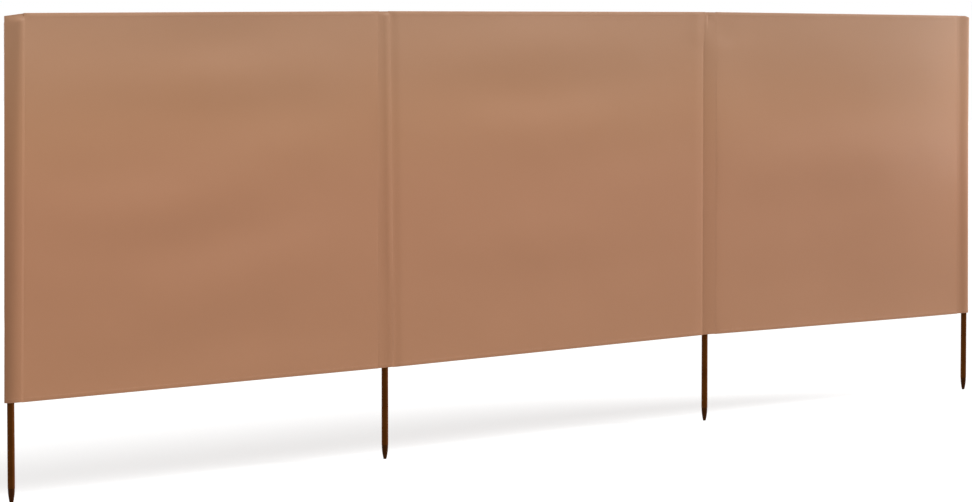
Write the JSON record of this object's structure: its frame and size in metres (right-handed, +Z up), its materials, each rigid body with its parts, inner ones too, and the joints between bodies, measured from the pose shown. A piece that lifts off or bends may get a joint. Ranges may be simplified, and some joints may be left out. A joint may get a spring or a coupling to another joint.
{
  "type": "beach windbreak",
  "caption": "Long taupe cloth beach windbreak in equal-height bays, with brown poles in sewn pockets and pointed tips that push into sand.",
  "frame": {"origin": "centre of the blunt end of the first pole's tip, on the surface the poles stand on or are pushed into", "axes": "+X along the windbreak from the first pole to the last, -Y is the front, where the cloth of the bays lies ahead of the pole centres, +Z up along the poles"},
  "size_m": [3.9976, 0.026, 1.2],
  "materials": {
    "cloth": "matte taupe woven polyester",
    "pole_coat": "semi-gloss dark brown powder coat",
    "tip_plastic": "dark brown moulded plastic"
  },
  "bodies": {
    "root": {"panel_1": "cloth", "panel_2": "cloth", "panel_3": "cloth", "top_hem_1": "cloth", "top_hem_2": "cloth", "top_hem_3": "cloth", "bottom_hem_1": "cloth", "bottom_hem_2": "cloth", "bottom_hem_3": "cloth", "pocket_1": "cloth", "pocket_2": "cloth", "pocket_3": "cloth", "pocket_4": "cloth", "pole_1": "pole_coat", "pole_2": "pole_coat", "pole_3": "pole_coat", "pole_4": "pole_coat", "tip_1": "tip_plastic", "tip_2": "tip_plastic", "tip_3": "tip_plastic", "tip_4": "tip_plastic"}
  },
  "joints": []
}
